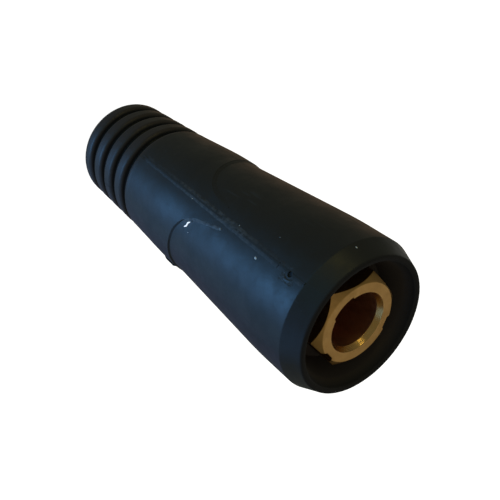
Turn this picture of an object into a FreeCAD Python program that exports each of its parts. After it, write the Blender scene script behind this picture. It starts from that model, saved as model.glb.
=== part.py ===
import FreeCAD, Part
import os
import Sketcher

# Female half of an inline screw-clamp cable coupler for a 13 mm bayonet plug pin.
# Millimetres. The origin is the centre of the cable end face. +Z runs along the axis
# from the cable end to the mouth, and +X lies in the parting plane of the mould.

SIZES = {
    # rubber sleeve, ribbed grip at the cable end
    "tail_radius": 13.65,
    "tail_round": 3.4,
    "groove_count": 4,
    "first_groove": 6.6,
    "groove_pitch": 5.95,
    "groove_width": 2.7,
    "groove_floor": 0.9,
    "groove_depth": 1.35,
    "groove_round": 0.6,
    "rib_round": 1.3,
    "grip_front_radius": 14.68,
    # rubber sleeve, raised rear layer that ends in two arches and two tongues
    "shoulder_run": 14.3,
    "shoulder_radius": 15.72,
    "shoulder_bend": 90.0,
    "arch_run": 5.3,
    "arch_radius": 15.78,
    "arch_foot_rise": 0.35,
    "arch_corner_half_width": 4.3,
    "arch_corner_rise": 5.3,
    "arch_corner_bend": 11.0,
    "tongue_run": 18.2,
    "tongue_tip_radius": 16.56,
    "tongue_tip_half_width": 2.3,
    "arch_edge_round": 0.25,
    # rubber sleeve, front body and rim
    "arch_step": 0.5,
    "front_overlap": 1.5,
    "belly_run": 18.0,
    "belly_radius": 17.88,
    "belly_bend": 120.0,
    "collar_run": 10.8,
    "collar_radius": 18.05,
    "collar_round": 0.8,
    "rim_run": 4.7,
    "rim_radius": 16.2,
    "rim_round": 0.65,
    "rim_land": 1.1,
    "lip_round": 0.65,
    # rubber sleeve, parting ridge and vent pit
    "ridge_height": 0.12,
    "ridge_width": 0.4,
    "ridge_root": 0.6,
    "ridge_lean": 1.2,
    "pit_from_rim": 9.0,
    "pit_offset": 0.8,
    "pit_radius": 0.6,
    "pit_depth": 0.35,
    # rubber sleeve, inside
    "trench_depth": 8.0,
    "trench_gap": 0.8,
    "cable_channel_radius": 7.5,
    "channel_flare": 1.0,
    "seat_clearance": 0.05,
    "rib_end_clearance": 0.1,
    # brass contact
    "face_recess": 1.65,
    "contact_turn": -5.5,
    "pin_bore_radius": 6.5,
    "pin_bore_depth": 34.0,
    "bore_web": 4.0,
    "nose_wall": 3.2,
    "nose_face_step": 0.3,
    "nose_chamfer_drop": 1.6,
    "countersink_step": 0.68,
    "countersink_depth": 1.3,
    "key_rise": 1.15,
    "key_half_width": 2.9,
    "key_turn": 2.0,
    "track_depth": 9.0,
    "track_width": 5.2,
    "track_pitch": 4.0,
    "track_angle": 200.0,
    "notch_width": 4.4,
    "notch_floor": 2.5,
    "notch_depth": 0.9,
    "notch_length": 12.0,
    "neck_depth": 1.0,
    "neck_length": 4.0,
    "barrel_wall": 3.5,
    "barrel_chamfer": 1.0,
    "cable_bore_radius": 6.0,
    "cable_bore_depth": 26.0,
    "cable_bore_chamfer": 0.8,
    # clamp screws
    "first_screw": 6.5,
    "screw_pitch": 11.5,
    "screw_radius": 4.0,
    "screw_clearance": 0.04,
    "screw_sunk": 0.1,
    "screw_point_gap": 0.3,
    "screw_point_chamfer": 0.8,
    "screw_socket_flats": 4.0,
    "screw_socket_depth": 2.6,
    # copper ferrule on the conductor
    "ferrule_play": 1.05,
    "ferrule_wall": 0.5,
    "ferrule_slit": 1.2,
    "ferrule_end_gap": 1.0,
    "ferrule_clearance": 0.03,
}

OUTSIDE = 25.0
SQUARE_ROOT_OF_3 = 3.0 ** 0.5


class Size:
    """A number together with the spreadsheet expression that gives it."""

    def __init__(self, number, text):
        self.number = number
        self.text = text

    def __add__(self, other):
        other = as_size(other)
        return Size(self.number + other.number, f"({self.text} + {other.text})")

    def __sub__(self, other):
        other = as_size(other)
        return Size(self.number - other.number, f"({self.text} - {other.text})")

    def __mul__(self, other):
        other = as_size(other)
        return Size(self.number * other.number, f"({self.text} * {other.text})")

    def __truediv__(self, other):
        other = as_size(other)
        return Size(self.number / other.number, f"({self.text} / {other.text})")

    def __neg__(self):
        return Size(-self.number, f"(-1 * {self.text})")

    def root(self):
        return Size(self.number ** 0.5, f"sqrt({self.text})")


def as_size(value):
    return value if isinstance(value, Size) else Size(float(value), repr(float(value)))


def size(name):
    return Size(float(SIZES[name]), "Sizes." + name)


def make_sheet(doc):
    sheet = doc.addObject("Spreadsheet::Sheet", "Sizes")
    for row, (name, number) in enumerate(SIZES.items(), start=1):
        sheet.set(f"A{row}", name)
        sheet.set(f"B{row}", str(number))
        sheet.setAlias(f"B{row}", name)
    doc.recompute()


# Places and radii that follow from the sizes

GROOVES = int(SIZES["groove_count"])
LAST_GROOVE = size("first_groove") + size("groove_pitch") * (GROOVES - 1)
GRIP_END = LAST_GROOVE + size("groove_pitch") / 2.0
SHOULDER = GRIP_END + size("shoulder_run")
ARCH = SHOULDER + size("arch_run")
TONGUE_TIP = ARCH + size("tongue_run")
BELLY = TONGUE_TIP + size("belly_run")
COLLAR = BELLY + size("collar_run")
SLEEVE_LENGTH = COLLAR + size("rim_run")
TRENCH_FLOOR = SLEEVE_LENGTH - size("trench_depth")

BARREL_RADIUS = size("cable_bore_radius") + size("barrel_wall")
NECK_RADIUS = BARREL_RADIUS - size("neck_depth")
HEX_FLATS = (size("pin_bore_radius") + size("nose_wall")) * 2.0
HEX_CORNER = HEX_FLATS / SQUARE_ROOT_OF_3
KEY_RADIUS = size("pin_bore_radius") + size("key_rise")
CONTACT_LENGTH = size("cable_bore_depth") + size("bore_web") + size("pin_bore_depth")
NECK_FRONT = size("cable_bore_depth") + size("bore_web") / 2.0
NECK_REAR = NECK_FRONT - size("neck_length")
CONTACT_REAR = SLEEVE_LENGTH - size("face_recess") - CONTACT_LENGTH

FERRULE_RADIUS = size("cable_bore_radius") - size("ferrule_play")
FERRULE_OFFSET = size("ferrule_play") - size("ferrule_clearance")
FERRULE_LENGTH = size("cable_bore_depth") - size("ferrule_end_gap") * 2.0
SCREW_TIP = FERRULE_RADIUS - FERRULE_OFFSET + size("screw_point_gap")
SCREW_HOLE_RIM = (BARREL_RADIUS * BARREL_RADIUS - size("screw_radius") * size("screw_radius")).root()
SCREW_END = SCREW_HOLE_RIM - size("screw_sunk")


# Sketches and features

def new_body(doc, name):
    body = doc.addObject("PartDesign::Body", name)
    body.Label = name
    return body


def origin_part(body, role):
    return next(part for part in body.Origin.OriginFeatures if part.Role == role)


def new_sketch(body, name, plane, lift=None, turn=None):
    """A sketch on one of the body's own planes, lifted along its normal and turned about it."""
    sketch = body.newObject("Sketcher::SketchObject", name)
    sketch.AttachmentSupport = [(origin_part(body, plane), "")]
    sketch.MapMode = "FlatFace"
    normal = FreeCAD.Vector(0, 0, 1)
    height = lift.number if lift else 0.0
    angle = turn.number if turn else 0.0
    sketch.AttachmentOffset = FreeCAD.Placement(normal * height, FreeCAD.Rotation(normal, angle))
    if lift:
        sketch.setExpression("AttachmentOffset.Base.z", lift.text)
    return sketch


def bind(sketch, index, value):
    name = f"size_{index}"
    sketch.renameConstraint(index, name)
    sketch.setExpression(f"Constraints.{name}", value.text)


def pin_point(sketch, geometry, end, across, up):
    """Fix one point of a sketch by its two coordinates."""
    for value, kind, axis in ((across, "DistanceX", -2), (up, "DistanceY", -1)):
        if value.number == 0.0:
            sketch.addConstraint(Sketcher.Constraint("PointOnObject", geometry, end, axis))
        else:
            rule = Sketcher.Constraint(kind, geometry, end, value.number)
            bind(sketch, sketch.addConstraint(rule), value)


def add_outline(sketch, corners):
    """A closed outline of straight edges, each corner fixed by its two coordinates."""
    corners = [(as_size(across), as_size(up)) for across, up in corners]
    points = [FreeCAD.Vector(across.number, up.number, 0) for across, up in corners]
    first = sketch.GeometryCount
    count = len(points)
    for i in range(count):
        sketch.addGeometry(Part.LineSegment(points[i], points[(i + 1) % count]), False)
    for i in range(count):
        after = first + (i + 1) % count
        sketch.addConstraint(Sketcher.Constraint("Coincident", first + i, 2, after, 1))
    for i, (across, up) in enumerate(corners):
        pin_point(sketch, first + i, 1, across, up)


def round_corner(sketch, edge, radius):
    """Round the corner at the end of a straight edge of an outline, which keeps its corner's place."""
    arc = sketch.GeometryCount
    sketch.fillet(edge, 2, radius.number, 1, True)
    bind(sketch, sketch.addConstraint(Sketcher.Constraint("Radius", arc, radius.number)), radius)


def add_box(sketch, left, right, low, high):
    add_outline(sketch, [(left, low), (right, low), (right, high), (left, high)])


def add_arc_ended_slot(sketch, radius, half_width):
    """A slot from the sketch's origin along its horizontal axis, with an end round the origin."""
    end = (radius * radius - half_width * half_width).root()
    corners = [(as_size(0), -half_width), (end, -half_width), (end, half_width), (as_size(0), half_width)]
    points = [FreeCAD.Vector(across.number, up.number, 0) for across, up in corners]
    for i, j in ((0, 1), (2, 3), (3, 0)):
        sketch.addGeometry(Part.LineSegment(points[i], points[j]), False)
    beyond = FreeCAD.Vector(radius.number, 0, 0)
    arc = sketch.addGeometry(Part.Arc(points[1], beyond, points[2]), False)
    for first, first_end, second, second_end in ((0, 2, arc, 1), (arc, 2, 1, 1), (1, 2, 2, 1), (2, 2, 0, 1)):
        rule = Sketcher.Constraint("Coincident", first, first_end, second, second_end)
        sketch.addConstraint(rule)
    pin_point(sketch, 0, 1, *corners[0])
    pin_point(sketch, 0, 2, *corners[1])
    pin_point(sketch, 1, 1, *corners[2])
    pin_point(sketch, 1, 2, *corners[3])
    bind(sketch, sketch.addConstraint(Sketcher.Constraint("Radius", arc, radius.number)), radius)


def add_circle(sketch, across, up, radius):
    across, up, radius = as_size(across), as_size(up), as_size(radius)
    centre = FreeCAD.Vector(across.number, up.number, 0)
    circle = Part.Circle(centre, FreeCAD.Vector(0, 0, 1), radius.number)
    index = sketch.addGeometry(circle, False)
    rule = Sketcher.Constraint("Radius", index, radius.number)
    bind(sketch, sketch.addConstraint(rule), radius)
    pin_point(sketch, index, 3, across, up)


def add_hexagon(sketch, flats):
    """A hexagon about the sketch's origin, with a corner on its horizontal axis."""
    corner = flats / SQUARE_ROOT_OF_3
    half = corner / 2.0
    height = flats / 2.0
    add_outline(sketch, [
        (corner, 0), (half, height), (-half, height),
        (-corner, 0), (-half, -height), (half, -height),
    ])


def finish_feature(body, feature):
    body.Tip = feature
    body.Document.recompute()
    return feature


def revolve(body, sketch, name, kind="Revolution", axis="V_Axis"):
    feature = body.newObject(f"PartDesign::{kind}", name)
    feature.Profile = sketch
    feature.ReferenceAxis = (sketch, [axis])
    feature.Angle = 360
    return finish_feature(body, feature)


def pad(body, sketch, name, length, both_ways=False):
    feature = body.newObject("PartDesign::Pad", name)
    feature.Profile = sketch
    feature.Length = length.number
    feature.setExpression("Length", length.text)
    if both_ways:
        feature.SideType = "Symmetric"
    return finish_feature(body, feature)


def pocket(body, sketch, name, length=None, reverse=False, both_ways=False):
    """A pocket against the sketch's normal, along it when reversed, right through without a length."""
    feature = body.newObject("PartDesign::Pocket", name)
    feature.Profile = sketch
    if length is None:
        feature.Type = "ThroughAll"
    else:
        feature.Length = length.number
        feature.setExpression("Length", length.text)
    feature.Reversed = reverse
    if both_ways:
        feature.SideType = "Symmetric"
    return finish_feature(body, feature)


def pattern(body, kind, name, original, settings):
    feature = body.newObject(f"PartDesign::{kind}", name)
    feature.Originals = [original]
    for setting, value in settings.items():
        setattr(feature, setting, value)
    return finish_feature(body, feature)


def dress(body, base, name, edges, radius):
    """A fillet on the edges that a test picks from the shape so far."""
    feature = body.newObject("PartDesign::Fillet", name)
    picked = [f"Edge{i}" for i, edge in enumerate(base.Shape.Edges, start=1) if edges(edge)]
    feature.Base = (base, picked)
    feature.Radius = radius.number
    feature.setExpression("Radius", radius.text)
    return finish_feature(body, feature)


def is_ring(edge, low, high, least_radius):
    """True for a round edge about the axis between two heights."""
    if not isinstance(edge.Curve, Part.Circle):
        return False
    centre = edge.Curve.Center
    on_axis = abs(centre.x) + abs(centre.y) < 1e-6
    return on_axis and low < centre.z < high and edge.Curve.Radius > least_radius


def edge_points(edge):
    """The two ends and the middle of an edge."""
    middle = edge.valueAt((edge.FirstParameter + edge.LastParameter) / 2.0)
    return [vertex.Point for vertex in edge.Vertexes] + [middle]


def set_place(body, height, turn=None):
    """Lift a body along the axis and turn it about the axis, both bound to the sheet."""
    axis = FreeCAD.Vector(0, 0, 1)
    angle = turn.number if turn else 0.0
    body.Placement = FreeCAD.Placement(axis * height.number, FreeCAD.Rotation(axis, angle))
    body.setExpression("Placement.Base.z", height.text)


# The moulded rubber sleeve

def grip_radius(place):
    """Radius of the ribbed grip before its grooves are cut, at a height above the cable end."""
    rise = size("grip_front_radius") - size("tail_radius")
    return size("tail_radius") + rise * place / GRIP_END


def sleeve_rear_layer(body):
    sketch = new_sketch(body, "RearLayerOutline", "XZ_Plane")
    add_outline(sketch, [
        (0, 0),
        (size("tail_radius"), 0),
        (size("grip_front_radius"), GRIP_END),
        (size("shoulder_radius"), SHOULDER),
        (size("arch_radius"), ARCH),
        (size("tongue_tip_radius"), TONGUE_TIP),
        (0, TONGUE_TIP),
    ])
    edge_to_shoulder = 2
    round_corner(sketch, edge_to_shoulder, size("shoulder_bend"))
    revolve(body, sketch, "RearLayer")


def sleeve_arches(body):
    """Cut the rear layer back beside each tongue, seen square on to the parting line."""
    top = TONGUE_TIP + 1.0
    corner_half_width = size("arch_corner_half_width")
    corner_place = ARCH + size("arch_corner_rise")
    fall = size("arch_corner_rise") - size("arch_foot_rise")
    slope = fall / (size("arch_radius") - corner_half_width)
    sketch = new_sketch(body, "ArchOutline", "YZ_Plane")
    add_outline(sketch, [
        (OUTSIDE, corner_place - slope * (as_size(OUTSIDE) - corner_half_width)),
        (OUTSIDE, top),
        (size("tongue_tip_half_width"), top),
        (corner_half_width, corner_place),
    ])
    tongue_side = 2
    round_corner(sketch, tongue_side, size("arch_corner_bend"))
    arch = pocket(body, sketch, "Arch", both_ways=True)
    mirror_plane = (origin_part(body, "XZ_Plane"), [""])
    arches = pattern(body, "Mirrored", "ArchesOfBothHalves", arch, {"MirrorPlane": mirror_plane})
    low, high = ARCH.number, TONGUE_TIP.number
    radius = SIZES["arch_radius"]
    growth = (SIZES["tongue_tip_radius"] - radius) / (high - low)

    def is_on_layer(point):
        distance = (point.x ** 2 + point.y ** 2) ** 0.5
        return low - 1e-3 < point.z and abs(distance - radius - growth * (point.z - low)) < 1e-3

    def is_arch_edge(edge):
        points = edge_points(edge)
        crosses = max(abs(p.y) for p in points) > 0.1
        at_tip = min(p.z for p in points) > high - 1e-3
        at_root = max(p.z for p in points) < low + 1e-3
        return all(is_on_layer(p) for p in points) and crosses and not at_tip and not at_root

    dress(body, arches, "ArchEdgeRound", is_arch_edge, size("arch_edge_round"))


def sleeve_front_body(body):
    foot = ARCH - size("front_overlap")
    sketch = new_sketch(body, "FrontBodyOutline", "XZ_Plane")
    add_outline(sketch, [
        (0, foot),
        (size("arch_radius") - size("arch_step"), foot),
        (size("belly_radius"), BELLY),
        (size("collar_radius"), COLLAR),
        (size("rim_radius"), SLEEVE_LENGTH),
        (0, SLEEVE_LENGTH),
    ])
    edge_to_belly, edge_to_collar = 1, 2
    round_corner(sketch, edge_to_belly, size("belly_bend"))
    round_corner(sketch, edge_to_collar, size("collar_round"))
    revolve(body, sketch, "FrontBody")


def sleeve_parting_ridge(body):
    """The fine ridge where the mould halves met, on both sides, leaning a little about the tongue's tip."""
    line = [
        (size("grip_front_radius"), GRIP_END),
        (size("shoulder_radius"), SHOULDER),
        (size("arch_radius"), ARCH),
        (size("tongue_tip_radius"), TONGUE_TIP),
        (size("belly_radius"), BELLY),
        (size("collar_radius"), COLLAR),
    ]
    crest = [(radius + size("ridge_height"), place - TONGUE_TIP) for radius, place in line]
    root = [(radius - size("ridge_root"), place - TONGUE_TIP) for radius, place in reversed(line)]
    sketch = new_sketch(body, "RidgeOutline", "XZ_Plane")
    lean = FreeCAD.Rotation(FreeCAD.Vector(1, 0, 0), -SIZES["ridge_lean"])
    sketch.AttachmentOffset = FreeCAD.Placement(FreeCAD.Vector(0, TONGUE_TIP.number, 0), lean)
    sketch.setExpression("AttachmentOffset.Base.y", TONGUE_TIP.text)
    add_outline(sketch, crest + root)
    ridge = pad(body, sketch, "Ridge", size("ridge_width"), both_ways=True)
    mirror_plane = (origin_part(body, "YZ_Plane"), [""])
    pattern(body, "Mirrored", "RidgeOnBothSides", ridge, {"MirrorPlane": mirror_plane})


def sleeve_grooves(body):
    """Grooves with leaning sides, their outlines drawn on a little above the grip."""
    above = 0.3
    floor_half = size("groove_floor") / 2.0
    lean = (size("groove_width") - size("groove_floor")) / 2.0 / size("groove_depth")
    half = floor_half + lean * (size("groove_depth") + above)
    middles = [size("first_groove") + size("groove_pitch") * i for i in range(GROOVES)]
    sketch = new_sketch(body, "GrooveOutlines", "XZ_Plane")
    for middle in middles:
        crest = grip_radius(middle) + above
        floor = grip_radius(middle) - size("groove_depth")
        add_outline(sketch, [
            (floor, middle - floor_half),
            (crest, middle - half),
            (crest, middle + half),
            (floor, middle + floor_half),
        ])
    grooves = revolve(body, sketch, "GripGrooves", "Groove")
    low = middles[0].number - SIZES["groove_width"]
    high = middles[-1].number + SIZES["groove_width"]
    least_radius = SIZES["tail_radius"] - SIZES["groove_depth"] - 0.1

    def is_groove_edge(edge):
        return is_ring(edge, low, high, least_radius)

    def is_floor_edge(edge):
        if not is_groove_edge(edge):
            return False
        return edge.Curve.Radius < grip_radius(as_size(edge.Curve.Center.z)).number - 0.5

    def is_rib_edge(edge):
        if not is_groove_edge(edge):
            return False
        return edge.Curve.Radius > grip_radius(as_size(edge.Curve.Center.z)).number - 0.1

    floors = dress(body, grooves, "GrooveRounds", is_floor_edge, size("groove_round"))
    return dress(body, floors, "RibRounds", is_rib_edge, size("rib_round"))


def sleeve_end_rounds(body, base):
    near = 0.01
    length = SLEEVE_LENGTH.number

    def is_tail_edge(edge):
        return is_ring(edge, -near, near, SIZES["tail_radius"] - near)

    def is_rim_edge(edge):
        return is_ring(edge, length - near, length + near, SIZES["rim_radius"] - near)

    tail = dress(body, base, "TailRound", is_tail_edge, size("tail_round"))
    dress(body, tail, "RimRound", is_rim_edge, size("rim_round"))


def sleeve_inside(body):
    """Channel for the cable, seat for the contact, retention rib and mouth trench."""
    slack = size("seat_clearance")
    seat = BARREL_RADIUS + slack
    channel = size("cable_channel_radius")
    flare = size("channel_flare")
    rib = NECK_RADIUS + slack
    rib_rear = CONTACT_REAR + NECK_REAR + size("rib_end_clearance")
    rib_front = CONTACT_REAR + NECK_FRONT - size("rib_end_clearance")
    sketch = new_sketch(body, "InsideOutline", "XZ_Plane")
    add_outline(sketch, [
        (0, 0),
        (channel + flare, 0),
        (channel, flare),
        (channel, CONTACT_REAR),
        (seat, CONTACT_REAR),
        (seat, rib_rear),
        (rib, rib_rear),
        (rib, rib_front),
        (seat, rib_front),
        (seat, TRENCH_FLOOR),
        (HEX_CORNER + size("trench_gap"), TRENCH_FLOOR),
        (size("rim_radius") - size("rim_land"), SLEEVE_LENGTH),
        (0, SLEEVE_LENGTH),
    ])
    revolve(body, sketch, "Inside", "Groove")
    hexagon = new_sketch(body, "HexSeatOutline", "XY_Plane", TRENCH_FLOOR, size("contact_turn"))
    add_hexagon(hexagon, HEX_FLATS + slack * 2.0)
    seat_hole = pocket(body, hexagon, "HexSeat", TRENCH_FLOOR - rib_front)
    near = 0.01
    length = SLEEVE_LENGTH.number
    lip = SIZES["rim_radius"] - SIZES["rim_land"]

    def is_lip_edge(edge):
        return is_ring(edge, length - near, length + near, lip - near) and edge.Curve.Radius < lip + near

    dress(body, seat_hole, "LipRound", is_lip_edge, size("lip_round"))


def sleeve_vent_pit(body):
    sketch = new_sketch(body, "PitOutline", "YZ_Plane", size("belly_radius") - size("pit_depth"))
    add_circle(sketch, size("pit_offset"), SLEEVE_LENGTH - size("pit_from_rim"), size("pit_radius"))
    pocket(body, sketch, "VentPit", reverse=True)


def build_sleeve(doc):
    body = new_body(doc, "insulating_sleeve")
    sleeve_rear_layer(body)
    sleeve_arches(body)
    sleeve_front_body(body)
    sleeve_parting_ridge(body)
    grooves = sleeve_grooves(body)
    sleeve_end_rounds(body, grooves)
    sleeve_inside(body)
    sleeve_vent_pit(body)
    return body


# The brass contact, in a frame of its own with its rear face at zero and its keyway on +X

def contact_blank(body):
    """The turned barrel and neck, then the hexagonal nose."""
    chamfer = size("barrel_chamfer")
    turned = new_sketch(body, "TurnedOutline", "XZ_Plane")
    add_outline(turned, [
        (0, 0),
        (BARREL_RADIUS - chamfer, 0),
        (BARREL_RADIUS, chamfer),
        (BARREL_RADIUS, NECK_REAR),
        (NECK_RADIUS, NECK_REAR),
        (NECK_RADIUS, NECK_FRONT),
        (0, NECK_FRONT),
    ])
    revolve(body, turned, "TurnedRear")
    hexagon = new_sketch(body, "NoseOutline", "XY_Plane", NECK_FRONT)
    add_hexagon(hexagon, HEX_FLATS)
    pad(body, hexagon, "HexNose", CONTACT_LENGTH - NECK_FRONT)


def contact_nose_chamfer(body):
    """The nut-like chamfer round the face, which cuts the six corners most."""
    flat = HEX_FLATS / 2.0 - size("nose_face_step")
    drop = size("nose_chamfer_drop")
    slope = drop / (HEX_CORNER - flat)
    beyond = 1.0
    sketch = new_sketch(body, "NoseChamferOutline", "XZ_Plane")
    add_outline(sketch, [
        (flat, CONTACT_LENGTH),
        (HEX_CORNER + beyond, CONTACT_LENGTH - drop - slope * beyond),
        (HEX_CORNER + beyond, CONTACT_LENGTH),
    ])
    revolve(body, sketch, "NoseChamfer", "Groove")


def contact_bores(body):
    pin, cable = size("pin_bore_radius"), size("cable_bore_radius")
    chamfer = size("cable_bore_chamfer")
    bottom = CONTACT_LENGTH - size("pin_bore_depth")
    pin_bore = new_sketch(body, "PinBoreOutline", "XZ_Plane")
    add_outline(pin_bore, [
        (0, bottom),
        (pin, bottom),
        (pin, CONTACT_LENGTH - size("countersink_depth")),
        (pin + size("countersink_step"), CONTACT_LENGTH),
        (0, CONTACT_LENGTH),
    ])
    revolve(body, pin_bore, "PinBore", "Groove")
    cable_bore = new_sketch(body, "CableBoreOutline", "XZ_Plane")
    add_outline(cable_bore, [
        (0, 0),
        (cable + chamfer, 0),
        (cable, chamfer),
        (cable, size("cable_bore_depth")),
        (0, size("cable_bore_depth")),
    ])
    revolve(body, cable_bore, "CableBore", "Groove")


def contact_bayonet(body):
    """The keyway for the plug's nose and the helical track that draws the plug in."""
    low = CONTACT_LENGTH - size("track_depth") - size("track_width")
    high = CONTACT_LENGTH - size("track_depth")
    inner = size("pin_bore_radius") - 1.0
    keyway = new_sketch(body, "KeywayOutline", "XY_Plane", CONTACT_LENGTH, size("key_turn"))
    add_arc_ended_slot(keyway, KEY_RADIUS, size("key_half_width"))
    pocket(body, keyway, "Keyway", CONTACT_LENGTH - low)
    track = new_sketch(body, "TrackOutline", "XZ_Plane")
    add_box(track, inner, KEY_RADIUS, low, high)
    helix = body.newObject("PartDesign::SubtractiveHelix", "LockingTrack")
    helix.Profile = track
    helix.ReferenceAxis = (track, ["V_Axis"])
    helix.Mode = "pitch-turns-angle"
    turns = size("track_angle") / 360.0
    helix.Pitch = SIZES["track_pitch"]
    helix.setExpression("Pitch", size("track_pitch").text)
    helix.Turns = turns.number
    helix.setExpression("Turns", turns.text)
    helix.Angle = 0
    helix.Reversed = True
    finish_feature(body, helix)


def contact_notches(body):
    """Two axial notches, each in the middle of a flat of the nose."""
    bottom = HEX_FLATS / 2.0 - size("notch_depth")
    half = size("notch_floor") / 2.0
    lean = (size("notch_width") - size("notch_floor")) / 2.0 / size("notch_depth")
    outer_half = half + lean * (HEX_CORNER - bottom)
    for i, angle in enumerate((90.0, 210.0)):
        sketch = new_sketch(body, f"NotchOutline{i}", "XY_Plane", CONTACT_LENGTH, as_size(angle))
        add_outline(sketch, [
            (bottom, -half),
            (HEX_CORNER, -outer_half),
            (HEX_CORNER, outer_half),
            (bottom, half),
        ])
        pocket(body, sketch, f"Notch{i}", size("notch_length"))


def contact_screw_holes(body):
    sketch = new_sketch(body, "ScrewHoleOutline", "XZ_Plane")
    for i in range(2):
        add_circle(sketch, 0, size("first_screw") + size("screw_pitch") * i, size("screw_radius"))
    pocket(body, sketch, "ScrewHoles")


def build_contact(doc):
    body = new_body(doc, "socket_contact")
    contact_blank(body)
    contact_nose_chamfer(body)
    contact_bores(body)
    contact_bayonet(body)
    contact_notches(body)
    contact_screw_holes(body)
    set_place(body, CONTACT_REAR, size("contact_turn"))
    return body


# The parts that clamp the conductor

def build_screw(doc, name, place_on_contact):
    """A socket set screw that lies along +Y, with its flat point towards the axis."""
    radius = size("screw_radius") - size("screw_clearance")
    chamfer = size("screw_point_chamfer")
    body = new_body(doc, name)
    shank = new_sketch(body, "ShankOutline", "YZ_Plane")
    add_outline(shank, [
        (SCREW_TIP, 0),
        (SCREW_TIP, radius - chamfer),
        (SCREW_TIP + chamfer, radius),
        (SCREW_END, radius),
        (SCREW_END, 0),
    ])
    revolve(body, shank, "Shank", axis="H_Axis")
    hexagon = new_sketch(body, "SocketOutline", "XZ_Plane", -SCREW_END)
    add_hexagon(hexagon, size("screw_socket_flats"))
    pocket(body, hexagon, "HexSocket", size("screw_socket_depth"), reverse=True)
    set_place(body, CONTACT_REAR + place_on_contact, size("contact_turn"))
    return body


def build_ferrule(doc):
    """A rolled copper sleeve with its slit away from the screws, against the bore's far wall."""
    body = new_body(doc, "conductor_ferrule")
    ring = new_sketch(body, "RingOutline", "XY_Plane")
    add_circle(ring, 0, -FERRULE_OFFSET, FERRULE_RADIUS)
    add_circle(ring, 0, -FERRULE_OFFSET, FERRULE_RADIUS - size("ferrule_wall"))
    pad(body, ring, "Ring", FERRULE_LENGTH)
    half = size("ferrule_slit") / 2.0
    slit = new_sketch(body, "SlitOutline", "XY_Plane", FERRULE_LENGTH)
    add_box(slit, -half, half, -size("cable_bore_radius"), -FERRULE_OFFSET)
    pocket(body, slit, "Slit")
    set_place(body, CONTACT_REAR + size("ferrule_end_gap"), size("contact_turn"))
    return body


def check(doc, parts):
    for item in doc.Objects:
        if "Invalid" in item.State or "Error" in item.State:
            raise RuntimeError(f"{item.Name} did not compute: {item.State}")
    for part in parts:
        if part.Shape.isNull() or not part.Shape.isValid() or len(part.Shape.Solids) != 1:
            raise RuntimeError(f"{part.Label} is not one valid solid")


def main():
    doc = FreeCAD.newDocument("InlineSocketConnector")
    make_sheet(doc)
    parts = [
        build_sleeve(doc),
        build_contact(doc),
        build_screw(doc, "clamp_screw_rear", size("first_screw")),
        build_screw(doc, "clamp_screw_front", size("first_screw") + size("screw_pitch")),
        build_ferrule(doc),
    ]
    doc.recompute()
    check(doc, parts)
    os.makedirs("parts", exist_ok=True)
    for part in parts:
        part.Shape.exportStep(f"parts/{part.Label}.step")
        box = part.Shape.BoundBox
        print(f"{part.Label}: {part.Shape.Volume:.1f} mm3, z {box.ZMin:.2f} to {box.ZMax:.2f}")


main()
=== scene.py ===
import math

import bpy
from mathutils import Matrix, Quaternion, Vector


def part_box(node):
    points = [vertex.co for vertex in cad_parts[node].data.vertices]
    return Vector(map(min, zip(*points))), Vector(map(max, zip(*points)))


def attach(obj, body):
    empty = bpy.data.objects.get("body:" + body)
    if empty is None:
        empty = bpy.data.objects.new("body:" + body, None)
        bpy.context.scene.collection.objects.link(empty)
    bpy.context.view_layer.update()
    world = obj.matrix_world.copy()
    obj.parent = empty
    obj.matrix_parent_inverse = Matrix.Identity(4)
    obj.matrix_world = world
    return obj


# Looks of the inline socket connector: black rubber sleeve, brass contact, steel screws, copper ferrule.
# Metres. +Z runs from the cable end to the mouth, and +X lies in the parting plane on the side that shows.

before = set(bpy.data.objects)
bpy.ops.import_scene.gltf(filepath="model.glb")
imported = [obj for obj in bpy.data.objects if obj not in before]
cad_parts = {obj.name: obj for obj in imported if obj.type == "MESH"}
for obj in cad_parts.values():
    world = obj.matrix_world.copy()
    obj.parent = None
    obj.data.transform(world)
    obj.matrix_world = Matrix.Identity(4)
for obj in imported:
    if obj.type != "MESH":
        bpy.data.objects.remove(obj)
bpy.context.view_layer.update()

MM = 0.001
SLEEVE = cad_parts["insulating_sleeve"]
FACE_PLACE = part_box("socket_contact")[1][2]
MIDDLE = Vector((0.0, 0.0, 0.055))

# Camera, as in the photo: nearly level with the keyway side, looking down at the mouth, and rolled
CAMERA_TARGET = Vector((-6.39, 1.57, 55.865)) * MM
CAMERA_DISTANCE = 195.3 * MM
CAMERA_AZIMUTH = 0.42
CAMERA_ELEVATION = 41.77
CAMERA_ROLL = 127.51
CAMERA_LENS = 57.6
CAMERA_SENSOR = 36.0

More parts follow.
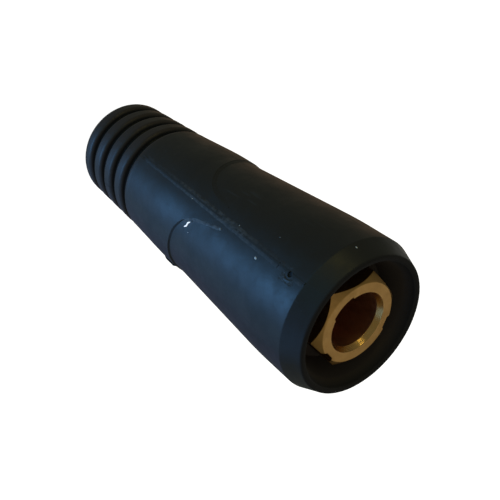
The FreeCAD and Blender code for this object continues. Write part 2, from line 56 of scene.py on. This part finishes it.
# Lights: name, direction from the object, distance, width, colour, power
# The rubber mirrors what stands below and beside it, so the window is laid out there in strips.
LIGHTS = [
    ("window_bright", (0.655, 0.476, -0.588), 0.9, 0.30, (0.16, 0.49, 1.0), 3.31),
    ("window_middle", (0.48, 0.57, -0.666), 0.9, 0.40, (0.25, 0.46, 1.0), 0.59),
    ("window_left", (0.065, 0.743, -0.666), 0.9, 0.50, (0.26, 0.59, 1.0), 0.52),
    ("window_end", (-0.43, 0.61, -0.666), 0.9, 0.60, (0.04, 0.10, 1.0), 0.19),
    ("window_side", (0.30, 0.95, 0.0), 0.9, 0.60, (0.16, 0.45, 1.0), 1.07),
    ("window_low", (1.0, 0.0, -0.1), 0.9, 0.60, (0.17, 0.75, 1.0), 0.50),
    ("room_warm", (-0.646, -0.373, -0.666), 0.9, 0.60, (1.0, 0.38, 0.15), 0.22),
    ("front_far", (-0.75, 0.0, 0.67), 0.9, 0.80, (1.0, 0.90, 0.80), 0.34),
    ("front_near", (0.15, 0.20, 0.97), 0.9, 0.80, (1.0, 0.88, 0.78), 0.58),
    ("back_fill", (-0.9, -0.4, 0.05), 0.9, 0.80, (0.92, 0.96, 1.0), 0.8),
    ("lamp_glint", (0.70, -0.65, 0.21), 0.9, 0.10, (1.0, 0.89, 0.30), 0.36),
]
AIR_COLOUR = (0.96, 0.99, 0.75)
AIR_STRENGTH = 0.16

# Threads of flash: name, line as (angle from +X, Z in millimetres), width, height, wander
FLASHES = [
    ("parting_flash", [(-3.0, 28.5), (-1.4, 50.0), (0.0, 65.2), (1.6, 88.4)], 2.0, 0.13, 0.05),
    ("parting_flash_double", [(-3.6, 48.0), (-2.6, 58.0), (-1.9, 71.0)], 0.90, 0.06, 0.10),
    ("parting_flash_front", [(2.9, 91.2), (3.1, 93.9)], 1.30, 0.10, 0.10),
    ("parting_flash_back", [(183.0, 28.5), (181.4, 50.0), (180.0, 65.2), (178.1, 93.5)], 2.0, 0.13, 0.05),
]

# Lines of the same kind along the tongue's edge, down from the arch and along the arch's edge
TONGUE_EDGE = [(21.0, 53.2), (17.5, 55.1), (14.0, 57.0), (10.6, 61.0), (7.0, 66.2)]
NIB_LINE = [(84.5, 47.2), (87.5, 44.5), (89.0, 40.2)]
ARCH_EDGE = [
    (-96, 47.5), (-84, 47.6), (-72, 47.8), (-60, 48.4), (-48, 49.2), (-36, 50.3), (-30, 51.1),
    (-24, 52.4), (-18, 54.3), (-14, 57.0), (-11, 60.0), (-8, 65.0),
]

# The white chip on the arch: angle, place, twist and length
CHIP_ANGLE = 21.2
CHIP_PLACE = 55.1
CHIP_TWIST = 150.0
CHIP_LENGTH = 2.3

# The vent pit by the collar: its place, its distance beside the parting plane and its angle
PIT_PLACE = 89.725
PIT_SIDE = 0.8
PIT_REACH = 17.98
PIT_ANGLE = math.degrees(math.asin(PIT_SIDE / PIT_REACH))

# Millimetres that one degree round the sleeve makes on its outside
DEGREE_RUN = 0.29

# The grip's cone, which tells the ribs from the grooves: radius at its end, and what it gains with height
GRIP_RADIUS = 0.01365
GRIP_GAIN = 0.0376

# The nose of the contact: where its chamfer starts, and how it falls away outwards
NOSE_FACE_RADIUS = 0.0094
NOSE_FALL = 0.889

# Dust and lint on the rubber: angle in degrees from +X, place and width in millimetres
SPECKS = [
    (26.3, 56.4, 0.24), (7.7, 79.7, 0.62), (1.6, 52.5, 0.26), (-3.4, 70.1, 0.20),
    (-39.4, 95.1, 0.36), (-13.0, 81.3, 0.14), (150.0, 72.0, 0.35),
    (208.0, 58.0, 0.3), (255.0, 80.0, 0.4), (118.0, 38.0, 0.3),
]


# Small helpers

def add_node(tree, kind, inputs=None, **settings):
    """A shader node with its settings, and with numbers or other nodes' outputs on its sockets."""
    node = tree.nodes.new("ShaderNode" + kind)
    for setting, value in settings.items():
        setattr(node, setting, value)
    for socket, value in (inputs or {}).items():
        if isinstance(value, bpy.types.NodeSocket):
            tree.links.new(value, node.inputs[socket])
        else:
            node.inputs[socket].default_value = value
    return node


def new_material(name):
    material = bpy.data.materials.new(name)
    material.use_nodes = True
    tree = material.node_tree
    tree.nodes.clear()
    surface = add_node(tree, "BsdfPrincipled")
    output = add_node(tree, "OutputMaterial")
    tree.links.new(surface.outputs["BSDF"], output.inputs["Surface"])
    place = add_node(tree, "TexCoord").outputs["Object"]
    return material, tree, surface, place


def deselect_all():
    bpy.ops.object.select_all(action="DESELECT")


def noise(tree, place, scale, detail=2.0, roughness=0.5):
    return add_node(tree, "TexNoise", {
        "Vector": place, "Scale": scale, "Detail": detail, "Roughness": roughness,
    }).outputs["Fac"]


def spread(tree, value, low, high, out_low=0.0, out_high=1.0):
    """A value rescaled from one range to another and held inside it."""
    return add_node(tree, "MapRange", {
        "Value": value, "From Min": low, "From Max": high, "To Min": out_low, "To Max": out_high,
    }).outputs["Result"]


def mix_colour(tree, factor, first, second):
    return add_node(tree, "Mix", {0: factor, 6: first, 7: second}, data_type="RGBA").outputs[2]


def maths(tree, operation, first, second=0.0):
    return add_node(tree, "Math", {0: first, 1: second}, operation=operation).outputs[0]


def stretched(tree, place, scale, turn=(0.0, 0.0, 0.0)):
    return add_node(tree, "Mapping", {"Vector": place, "Rotation": turn, "Scale": scale}).outputs["Vector"]


def near_point(tree, place, point, near, far):
    """One at a point and nought beyond the far distance."""
    away = add_node(tree, "VectorMath", {0: place, 1: point}, operation="DISTANCE").outputs["Value"]
    return spread(tree, away, near, far, 1.0, 0.0)


def axis_distance(tree, place):
    """Distance from the part's axis, and height along it."""
    parts = add_node(tree, "SeparateXYZ", {"Vector": place})
    flat = add_node(tree, "CombineXYZ", {"X": parts.outputs["X"], "Y": parts.outputs["Y"]})
    away = add_node(tree, "VectorMath", {0: flat.outputs["Vector"]}, operation="LENGTH").outputs["Value"]
    return away, parts.outputs["Z"]


def on_sleeve(angle, place):
    """The point of the sleeve's outside at an angle from +X and a height, and the way it faces."""
    turn = math.radians(angle)
    away = Vector((math.cos(turn), math.sin(turn), 0.0))
    hit, point, normal, face = SLEEVE.ray_cast(away * 30 * MM + Vector((0, 0, place * MM)), -away)
    return point, normal


# Materials

def rubber_material():
    """Moulded black rubber: satin, a little wavy, dusty, with fine scratches and one brown stain, painted
    near black in the grip's grooves as shade and painted a lighter brown inside the mouth as light.
    """
    material, tree, surface, place = new_material("sleeve_rubber")
    cloud = noise(tree, place, 55.0, 4.0, 0.6)
    dust = noise(tree, place, 1500.0, 3.0, 0.7)
    lint = spread(tree, dust, 0.66, 0.76)
    rubs = noise(tree, stretched(tree, place, (900.0, 900.0, 60.0), (0.06, 0.0, 0.0)), 1.0, 1.0)
    rub_area = spread(tree, noise(tree, place, 90.0, 2.0), 0.50, 0.66)
    scratch = maths(tree, "MULTIPLY", spread(tree, rubs, 0.66, 0.72), rub_area)
    stain_point = on_sleeve(-13.0, 95.4)[0]
    stain = near_point(tree, place, stain_point, 0.0005, 0.0035)

    black = mix_colour(tree, cloud, (0.0040, 0.0040, 0.0042, 1), (0.0066, 0.0064, 0.0062, 1))
    stained = mix_colour(tree, maths(tree, "MULTIPLY", stain, 0.5), black, (0.016, 0.0125, 0.009, 1))
    dusty = mix_colour(tree, maths(tree, "MULTIPLY", lint, 0.25), stained, (0.06, 0.062, 0.064, 1))
    worn = mix_colour(tree, maths(tree, "MULTIPLY", scratch, 0.35), dusty, (0.05, 0.05, 0.05, 1))

    away, height = axis_distance(tree, place)
    within = spread(tree, away, 0.0153, 0.0149)
    inner_wall = maths(tree, "MULTIPLY", within, spread(tree, height, 0.086, 0.088))
    mouth = maths(tree, "MAXIMUM", inner_wall, spread(tree, height, 0.0981, 0.0986))
    rim_top = spread(tree, height, 0.0960, 0.0980)
    # Painted light and shade in the mouth: the inner wall is painted a brown far lighter than the black
    # rubber, and the rim top a darker grey than the wall, which dims its highlight.
    inside = mix_colour(tree, rim_top, (0.048, 0.039, 0.034, 1), (0.020, 0.019, 0.020, 1))
    skin = maths(tree, "ADD", maths(tree, "MULTIPLY", height, GRIP_GAIN), GRIP_RADIUS)
    below_skin = spread(tree, maths(tree, "SUBTRACT", skin, away), 0.0003, 0.0008)
    sunk = maths(tree, "MULTIPLY", below_skin, spread(tree, height, 0.0035, 0.0050))
    grip = spread(tree, height, 0.0262, 0.0278, 1.0, 0.0)
    # Painted shade in the grip: the grooves are painted near black, and the ribs are given a lighter brown
    # than the black rubber.
    held = mix_colour(tree, sunk, (0.030, 0.020, 0.017, 1), (0.002, 0.003, 0.005, 1))
    grip_with_groove_shade = mix_colour(tree, grip, worn, held)
    tone = mix_colour(tree, mouth, grip_with_groove_shade, inside)
    tree.links.new(tone, surface.inputs["Base Color"])

    satin = spread(tree, noise(tree, place, 240.0, 4.0, 0.65), 0.3, 0.7, 0.42, 0.54)
    rubbed = maths(tree, "ADD", satin, maths(tree, "MULTIPLY", scratch, 0.15))
    matt = maths(tree, "MAXIMUM", rubbed, maths(tree, "MULTIPLY", mouth, 0.8))
    tree.links.new(matt, surface.inputs["Roughness"])
    sheen = spread(tree, grip, 0.0, 1.0, 0.5, 0.38)
    in_groove = maths(tree, "MULTIPLY", grip, sunk)
    groove_sheen = maths(tree, "SUBTRACT", sheen, maths(tree, "MULTIPLY", in_groove, 0.20))
    mouth_sheen = maths(tree, "SUBTRACT", groove_sheen, maths(tree, "MULTIPLY", mouth, 0.38))
    tree.links.new(mouth_sheen, surface.inputs["Specular IOR Level"])

    waves = noise(tree, place, 120.0, 2.0, 0.5)
    grain = noise(tree, place, 2600.0, 2.0)
    wavy = add_node(tree, "Bump", {"Height": waves, "Strength": 0.35, "Distance": 0.0006}).outputs["Normal"]
    rough = add_node(tree, "Bump", {"Height": grain, "Strength": 0.25, "Distance": 0.00003, "Normal": wavy})
    tree.links.new(rough.outputs["Normal"], surface.inputs["Normal"])
    return material


def flash_material(name, low, high):
    """The thin torn edge of the rubber, dry and dusty, from its darkest tone to its palest."""
    material, tree, surface, place = new_material(name)
    height = add_node(tree, "SeparateXYZ", {"Vector": place}).outputs["Z"]
    start = spread(tree, height, 0.040, 0.048)
    torn = maths(tree, "MULTIPLY", start, spread(tree, height, 0.072, 0.080, 1.0, 0.0))
    dust = spread(tree, noise(tree, place, 900.0, 3.0, 0.6), 0.35, 0.65)
    amount = maths(tree, "MULTIPLY", dust, spread(tree, torn, 0.0, 1.0, 0.35, 1.0))
    tone = mix_colour(tree, amount, low, high)
    tree.links.new(tone, surface.inputs["Base Color"])
    surface.inputs["Roughness"].default_value = 0.62
    grain = noise(tree, place, 3000.0, 2.0)
    bump = add_node(tree, "Bump", {"Height": grain, "Strength": 0.5, "Distance": 0.00005})
    tree.links.new(bump.outputs["Normal"], surface.inputs["Normal"])
    return material


def shade_dark_rubber():
    """Matt near-black rubber, painted darker than the sleeve as shade."""
    material, tree, surface, place = new_material("shade_dark_rubber")
    tone = mix_colour(tree, noise(tree, place, 900.0), (0.002, 0.002, 0.0025, 1), (0.005, 0.005, 0.006, 1))
    tree.links.new(tone, surface.inputs["Base Color"])
    surface.inputs["Roughness"].default_value = 0.8
    surface.inputs["Specular IOR Level"].default_value = 0.15
    return material


def pit_material():
    """The rubber round the vent pit: a little dusty on the swelling, and painted dark as shade where it dips
    in.
    """
    material, tree, surface, place = new_material("pit_rubber")
    beside = on_sleeve(PIT_ANGLE + 6.0, PIT_PLACE)[0]
    side = PIT_SIDE * MM
    centre = Vector((math.sqrt(beside.x ** 2 + beside.y ** 2 - side ** 2), side, PIT_PLACE * MM))
    hole = near_point(tree, place, centre, 0.0005, 0.0010)
    dust = spread(tree, noise(tree, place, 1400.0, 3.0, 0.6), 0.35, 0.65)
    dusty = mix_colour(tree, dust, (0.008, 0.0085, 0.009, 1), (0.022, 0.024, 0.028, 1))
    # Painted shade: the pit's hollow is painted darker than the dusty swelling round it.
    tone = mix_colour(tree, hole, dusty, (0.006, 0.007, 0.009, 1))
    tree.links.new(tone, surface.inputs["Base Color"])
    tree.links.new(spread(tree, hole, 0.0, 1.0, 0.48, 0.60), surface.inputs["Roughness"])
    tree.links.new(spread(tree, hole, 0.0, 1.0, 0.5, 0.25), surface.inputs["Specular IOR Level"])
    return material


def lint_material():
    material, tree, surface, place = new_material("pale_lint")
    tone = mix_colour(tree, noise(tree, place, 2500.0), (0.50, 0.52, 0.54, 1), (0.85, 0.86, 0.87, 1))
    tree.links.new(tone, surface.inputs["Base Color"])
    surface.inputs["Roughness"].default_value = 0.8
    return material


def glowing_chip_material():
    material, tree, surface, place = new_material("white_chip")
    tone = mix_colour(tree, noise(tree, place, 1800.0), (0.86, 0.88, 0.9, 1), (0.97, 0.98, 0.99, 1))
    tree.links.new(tone, surface.inputs["Base Color"])
    # Painted light: the chip's emission makes it glow white whatever lights it.
    tree.links.new(tone, surface.inputs["Emission Color"])
    surface.inputs["Emission Strength"].default_value = 0.7
    surface.inputs["Roughness"].default_value = 0.6
    return material


def brass_material():
    """Dull tan brass with turning marks, a bright countersink and a brown bore with tool rings; the nose
    chamfer and the flats are painted darker as shade.
    """
    material, tree, surface, place = new_material("contact_brass")
    away, height = axis_distance(tree, place)
    depth = maths(tree, "SUBTRACT", FACE_PLACE, height)
    shallow = maths(tree, "LESS_THAN", depth, 0.00131)
    in_countersink = maths(tree, "MULTIPLY", maths(tree, "LESS_THAN", away, 0.00722), shallow)
    deep = maths(tree, "GREATER_THAN", depth, 0.00129)
    in_bore = maths(tree, "MULTIPLY", maths(tree, "LESS_THAN", away, 0.00775), deep)

    stain = spread(tree, noise(tree, place, 260.0, 3.0, 0.6), 0.42, 0.68)
    stained = maths(tree, "MULTIPLY", stain, 0.4)
    face = mix_colour(tree, stained, (0.59, 0.345, 0.115, 1), (0.40, 0.22, 0.07, 1))
    bright = mix_colour(tree, in_countersink, face, (0.66, 0.39, 0.14, 1))
    # Painted shade: the nose chamfer is painted a darker brown than the face.
    outward = maths(tree, "MAXIMUM", maths(tree, "SUBTRACT", away, NOSE_FACE_RADIUS), 0.0)
    sloped = maths(tree, "MULTIPLY", outward, NOSE_FALL)
    chamfer_shade = spread(tree, sloped, 0.00004, 0.00016, 0.0, 0.42)
    nose_shaded = mix_colour(tree, chamfer_shade, bright, (0.34, 0.185, 0.060, 1))
    # Painted shade: the flats of the hexagon, below the chamfer, are painted dark brown.
    in_flats = spread(tree, maths(tree, "SUBTRACT", depth, sloped), 0.00008, 0.00020)
    flats_shade_mask = maths(tree, "MULTIPLY", in_flats, maths(tree, "GREATER_THAN", away, 0.0090))
    flats_shaded = mix_colour(tree, flats_shade_mask, nose_shaded, (0.24, 0.12, 0.05, 1))
    tone = mix_colour(tree, in_bore, flats_shaded, (0.58, 0.30, 0.17, 1))
    tree.links.new(tone, surface.inputs["Base Color"])
    surface.inputs["Metallic"].default_value = 1.0

    dull = spread(tree, noise(tree, place, 700.0, 3.0), 0.3, 0.7, 0.40, 0.52)
    polish = maths(tree, "SUBTRACT", dull, maths(tree, "MULTIPLY", in_countersink, 0.22))
    tree.links.new(polish, surface.inputs["Roughness"])

    rings = add_node(tree, "TexWave", {
        "Vector": place, "Scale": 2100.0, "Distortion": 0.6, "Detail": 1.0,
    }, wave_type="RINGS", rings_direction="Z").outputs["Fac"]
    steps = add_node(tree, "TexWave", {
        "Vector": place, "Scale": 620.0, "Distortion": 0.8, "Detail": 1.0,
    }, wave_type="BANDS", bands_direction="Z").outputs["Fac"]
    marks = add_node(tree, "Mix", {0: in_bore, 2: rings, 3: steps}).outputs[0]
    turned = add_node(tree, "Bump", {"Height": marks, "Strength": 0.22, "Distance": 0.00004})
    pits = noise(tree, place, 1500.0, 3.0)
    worn = add_node(tree, "Bump", {
        "Height": pits, "Strength": 0.3, "Distance": 0.00006, "Normal": turned.outputs["Normal"],
    })
    tree.links.new(worn.outputs["Normal"], surface.inputs["Normal"])
    return material


def steel_material():
    """Dark oiled steel with the screws' thread, whose turns run across the contact."""
    material, tree, surface, place = new_material("screw_steel")
    surface.inputs["Metallic"].default_value = 1.0
    tone = mix_colour(tree, noise(tree, place, 900.0, 3.0), (0.22, 0.215, 0.21, 1), (0.42, 0.41, 0.40, 1))
    tree.links.new(tone, surface.inputs["Base Color"])
    surface.inputs["Roughness"].default_value = 0.36
    thread = add_node(tree, "TexWave", {"Vector": place, "Scale": 251.0}, bands_direction="Y").outputs["Fac"]
    bump = add_node(tree, "Bump", {"Height": thread, "Strength": 0.8, "Distance": 0.0004})
    tree.links.new(bump.outputs["Normal"], surface.inputs["Normal"])
    return material


def copper_material():
    """Rolled copper sheet, brushed along its length and browned."""
    material, tree, surface, place = new_material("ferrule_copper")
    surface.inputs["Metallic"].default_value = 1.0
    brown = spread(tree, noise(tree, place, 350.0, 4.0, 0.6), 0.35, 0.7)
    tone = mix_colour(tree, brown, (0.74, 0.34, 0.19, 1), (0.36, 0.16, 0.09, 1))
    tree.links.new(tone, surface.inputs["Base Color"])
    surface.inputs["Roughness"].default_value = 0.34
    lines = noise(tree, stretched(tree, place, (4000.0, 4000.0, 120.0)), 1.0, 2.0)
    bump = add_node(tree, "Bump", {"Height": lines, "Strength": 0.3, "Distance": 0.00003})
    tree.links.new(bump.outputs["Normal"], surface.inputs["Normal"])
    return material


def dress_nodes(rubber):
    brass = brass_material()
    steel = steel_material()
    finishes = {
        "insulating_sleeve": rubber,
        "socket_contact": brass,
        "clamp_screw_front": steel,
        "clamp_screw_rear": steel,
        "conductor_ferrule": copper_material(),
    }
    for name, material in finishes.items():
        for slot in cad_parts[name].material_slots:
            slot.material = material


# Pieces that the photo shows on the rubber

def apply_place(piece):
    deselect_all()
    piece.select_set(True)
    bpy.context.view_layer.objects.active = piece
    bpy.ops.object.transform_apply(location=True, rotation=True, scale=True)


def apply_modifiers(piece):
    deselect_all()
    piece.select_set(True)
    bpy.context.view_layer.objects.active = piece
    for modifier in list(piece.modifiers):
        bpy.ops.object.modifier_apply(modifier=modifier.name)


def finish_piece(piece, name, material):
    piece.name = name
    piece.data.name = name
    piece.data.materials.clear()
    piece.data.materials.append(material)
    deselect_all()
    piece.select_set(True)
    bpy.context.view_layer.objects.active = piece
    bpy.ops.object.shade_smooth_by_angle(angle=math.radians(40))
    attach(piece, "root")
    return piece


def clouds(name, size):
    texture = bpy.data.textures.new(name, "CLOUDS")
    texture.noise_scale = size
    return texture


def step_lengths(line):
    """The lengths in millimetres between a line's points."""
    return [math.hypot((b[0] - a[0]) * DEGREE_RUN, b[1] - a[1]) for a, b in zip(line, line[1:])]


def along_line(line, share):
    """The (angle, place) at a share of a line's length."""
    lengths = step_lengths(line)
    left = share * sum(lengths)
    for a, b, length in zip(line, line[1:], lengths):
        if left <= length:
            break
        left -= length
    part = min(1.0, left / length)
    return a[0] + (b[0] - a[0]) * part, a[1] + (b[1] - a[1]) * part


def lay_thread(name, line, width, height, wander, material):
    """A ragged thread of rubber along a line: flat on the sleeve at both edges, swollen between."""
    length = sum(step_lengths(line))
    deselect_all()
    bpy.ops.mesh.primitive_grid_add(
        x_subdivisions=8, y_subdivisions=int(length * 4), size=1.0, location=(0, 0, 0),
    )
    thread = bpy.context.object
    crest = thread.vertex_groups.new(name="crest")
    for vertex in thread.data.vertices:
        share = vertex.co.y + 0.5
        across = vertex.co.x * 2.0
        angle, place = along_line(line, share)
        before = along_line(line, max(0.0, share - 0.04))
        after = along_line(line, min(1.0, share + 0.04))
        heading = math.atan2((after[0] - before[0]) * DEGREE_RUN, after[1] - before[1])
        travel = share * length
        sway = wander * (math.sin(travel * 1.1 + width) + 0.6 * math.sin(travel * 2.9 + 2.0))
        edges = []
        for side in (-1, 1):
            out = sway + side * width / 2.0
            turned = angle + out * math.cos(heading) / DEGREE_RUN
            edges.append(on_sleeve(turned, place - out * math.sin(heading)))
        (first, first_way), (second, second_way) = edges
        fade = min(1.0, travel / 1.5, (length - travel) / 1.5)
        swell = height * (1.0 - across ** 2) * fade - 0.015
        outwards = (first_way + second_way).normalized()
        vertex.co = first.lerp(second, (across + 1.0) / 2.0) + outwards * swell * MM
        crest.add([vertex.index], max(0.0, 1.0 - across ** 2) * fade, "REPLACE")

    if height > 0.0:
        ragged = thread.modifiers.new("ragged", "DISPLACE")
        ragged.texture = clouds(name + "_ragged", 0.8 * MM)
        ragged.texture_coords = "GLOBAL"
        ragged.direction = "NORMAL"
        ragged.vertex_group = "crest"
        ragged.strength = height * 0.6 * MM
        ragged.mid_level = 0.5
        apply_modifiers(thread)
    return finish_piece(thread, name, material)


def seat_on_sleeve(piece, angle, place, twist=0.0, sink=0.0):
    """Move a piece modelled at the origin, lying flat with +Z up, to a point of the sleeve's outside."""
    point, normal = on_sleeve(angle, place)
    up = Vector((0, 0, 1))
    along = (up - normal * up.dot(normal)).normalized()
    across = along.cross(normal)
    turn = Matrix((across, along, normal)).transposed().to_4x4()
    spin = Matrix.Rotation(math.radians(twist), 4, "Z")
    piece.matrix_world = Matrix.Translation(point - normal * sink * MM) @ turn @ spin
    apply_place(piece)


def scatter_specks(material):
    grains = []
    for angle, place, width in SPECKS:
        deselect_all()
        bpy.ops.mesh.primitive_ico_sphere_add(subdivisions=2, radius=width / 2.0 * MM, location=(0, 0, 0))
        grain = bpy.context.object
        bpy.ops.object.mode_set(mode="EDIT")
        bpy.ops.mesh.select_all(action="SELECT")
        bpy.ops.transform.vertex_random(offset=0.12 * width * MM, seed=int(place))
        bpy.ops.transform.resize(value=(1.25, 0.8, 0.42))
        bpy.ops.object.mode_set(mode="OBJECT")
        seat_on_sleeve(grain, angle, place, twist=place * 37.0)
        grains.append(grain)
    deselect_all()
    for grain in grains:
        grain.select_set(True)
    bpy.context.view_layer.objects.active = grains[0]
    bpy.ops.object.join()
    return finish_piece(grains[0], "dust_specks", material)


def add_white_chip(material):
    """The white chip caught on the edge of the arch, torn at its ends."""
    deselect_all()
    bpy.ops.mesh.primitive_grid_add(x_subdivisions=10, y_subdivisions=6, size=1.0, location=(0, 0, 0))
    chip = bpy.context.object
    chip.scale = (CHIP_LENGTH * MM, 0.47 * MM, 1.0)
    apply_place(chip)
    for vertex in chip.data.vertices:
        reach = abs(vertex.co.x) / (CHIP_LENGTH / 2.0 * MM)
        vertex.co.y *= 1.0 - 0.72 * reach ** 2
        vertex.co.y += 0.14 * MM * math.sin(vertex.co.x / MM * 4.2)
    chip.modifiers.new("body", "SOLIDIFY").thickness = 0.16 * MM
    soften = chip.modifiers.new("soften", "SUBSURF")
    soften.levels = 1
    soften.render_levels = 1
    apply_modifiers(chip)
    seat_on_sleeve(chip, CHIP_ANGLE, CHIP_PLACE, twist=CHIP_TWIST, sink=-0.07)
    return finish_piece(chip, "white_chip", material)


def add_pit_lip(material):
    """The swollen, uneven lip round the vent pit, which dips towards the pit."""
    deselect_all()
    bpy.ops.mesh.primitive_grid_add(x_subdivisions=44, y_subdivisions=44, size=4.0 * MM, location=(0, 0, 0))
    lip = bpy.context.object
    for vertex in lip.data.vertices:
        away = math.hypot(vertex.co.x, vertex.co.y * 0.9) / MM
        swell = 0.09 * math.exp(-((away - 1.25) / 0.35) ** 2)
        dip = -0.20 * math.exp(-(away / 0.85) ** 2)
        vertex.co.z = (swell + dip - 0.03 * max(0.0, away - 1.4)) * MM
    uneven = lip.modifiers.new("uneven", "DISPLACE")
    uneven.texture = clouds("lip_uneven", 0.8 * MM)
    uneven.texture_coords = "LOCAL"
    uneven.strength = 0.20 * MM
    uneven.mid_level = 0.45
    apply_modifiers(lip)
    seat_on_sleeve(lip, PIT_ANGLE, PIT_PLACE, sink=-0.35)
    return finish_piece(lip, "vent_pit_lip", material)


def add_tongue_nib(material):
    """The torn nib of flash at the tongue's tip, low and a little longer than wide, painted pale grey as a
    painted highlight.
    """
    deselect_all()
    bpy.ops.mesh.primitive_cone_add(
        vertices=24, radius1=0.5 * MM, radius2=0.3 * MM, depth=1.0 * MM, location=(0, 0, 0),
    )
    nib = bpy.context.object
    nib.scale = (0.8, 0.9, 0.28)
    apply_place(nib)
    uneven = nib.modifiers.new("uneven", "DISPLACE")
    uneven.texture = clouds("tongue_tip_nib_uneven", 0.8 * MM)
    uneven.texture_coords = "LOCAL"
    uneven.strength = 0.14 * MM
    apply_modifiers(nib)
    seat_on_sleeve(nib, 7.2, 65.9, twist=10.0)
    return finish_piece(nib, "tongue_tip_nib", material)


def build_pieces(rubber):
    flash = flash_material("flash_rubber", (0.010, 0.010, 0.0105, 1), (0.050, 0.046, 0.043, 1))
    # Painted highlight: the tongue's flash is painted a pale bluish grey and its tip nib a paler grey, for
    # the highlight along the tongue's edge.
    tongue_flash_highlight = flash_material("tongue_flash_painted_highlight", (0.020, 0.023, 0.028, 1), (0.085, 0.092, 0.104, 1))
    tip_painted_highlight = flash_material("tip_painted_highlight", (0.12, 0.13, 0.14, 1), (0.30, 0.32, 0.34, 1))
    for name, line, width, height, wander in FLASHES:
        lay_thread(name, line, width, height, wander, flash)
    lay_thread("tongue_flash_highlight", TONGUE_EDGE, 0.90, 0.07, 0.0, tongue_flash_highlight)
    front_edge = [(-angle, place) for angle, place in reversed(ARCH_EDGE[:8])]
    lay_thread("arch_crease", front_edge, 0.42, 0.0, 0.0, rubber)
    back_edge = [(180 - angle, place) for angle, place in reversed(ARCH_EDGE)]
    lay_thread("arch_soft_edge", ARCH_EDGE, 1.5, 0.05, 0.0, rubber)
    lay_thread("arch_soft_edge_back", back_edge, 1.5, 0.05, 0.0, rubber)
    scatter_specks(lint_material())
    add_white_chip(glowing_chip_material())
    add_pit_lip(pit_material())
    lay_thread("arch_flash_nib", NIB_LINE, 0.8, 0.48, 0.05, shade_dark_rubber())
    add_tongue_nib(tip_painted_highlight)


# Stage

def camera_direction():
    azimuth = math.radians(CAMERA_AZIMUTH)
    elevation = math.radians(CAMERA_ELEVATION)
    flat = math.cos(elevation)
    return Vector((flat * math.cos(azimuth), flat * math.sin(azimuth), math.sin(elevation)))


def add_camera():
    data = bpy.data.cameras.new("photo_camera")
    data.lens = CAMERA_LENS
    data.sensor_width = CAMERA_SENSOR
    data.clip_start = 0.01
    data.clip_end = 50.0
    camera = bpy.data.objects.new("photo_camera", data)
    bpy.context.scene.collection.objects.link(camera)
    direction = camera_direction()
    camera.location = CAMERA_TARGET + direction * CAMERA_DISTANCE
    camera.rotation_mode = "QUATERNION"
    roll = Quaternion((0, 0, 1), math.radians(CAMERA_ROLL))
    camera.rotation_quaternion = direction.to_track_quat("Z", "Y") @ roll
    bpy.context.scene.camera = camera
    return camera


def add_area_light(name, direction, distance, width, colour, power):
    """A soft square light that looks at the middle of the object from a direction."""
    data = bpy.data.lights.new(name, "AREA")
    data.shape = "SQUARE"
    data.size = width
    data.energy = power
    data.color = colour
    light = bpy.data.objects.new(name, data)
    bpy.context.scene.collection.objects.link(light)
    away = Vector(direction).normalized()
    light.location = MIDDLE + away * distance
    light.rotation_mode = "QUATERNION"
    light.rotation_quaternion = away.to_track_quat("Z", "Y")
    return light


def add_floor():
    deselect_all()
    bpy.ops.mesh.primitive_circle_add(vertices=96, radius=8.0, fill_type="NGON", location=(0, 0, 0))
    floor = bpy.context.object
    floor.name = "studio_floor"
    material, tree, surface, place = new_material("floor_white")
    surface.inputs["Base Color"].default_value = (0.9, 0.9, 0.9, 1)
    surface.inputs["Roughness"].default_value = 0.9
    surface.inputs["Emission Color"].default_value = (1, 1, 1, 1)
    surface.inputs["Emission Strength"].default_value = 1.0
    floor.data.materials.append(material)
    floor.visible_glossy = False
    floor.visible_diffuse = False
    floor.visible_shadow = False


def add_world():
    world = bpy.data.worlds.new("studio_air")
    world.use_nodes = True
    tree = world.node_tree
    tree.nodes.clear()
    air = add_node(tree, "Background", {"Color": (*AIR_COLOUR, 1), "Strength": AIR_STRENGTH})
    backdrop = add_node(tree, "Background", {"Color": (1, 1, 1, 1), "Strength": 1.0})
    seen = add_node(tree, "LightPath").outputs["Is Camera Ray"]
    both = add_node(tree, "MixShader", {0: seen, 1: air.outputs[0], 2: backdrop.outputs[0]})
    output = add_node(tree, "OutputWorld")
    tree.links.new(both.outputs[0], output.inputs["Surface"])
    bpy.context.scene.world = world


def build_stage():
    bpy.context.scene.view_settings.view_transform = "Standard"
    add_camera()
    add_floor()
    add_world()
    for name, direction, distance, width, colour, power in LIGHTS:
        add_area_light(name, direction, distance, width, colour, power)


build_stage()
sleeve_rubber = rubber_material()
dress_nodes(sleeve_rubber)
build_pieces(sleeve_rubber)
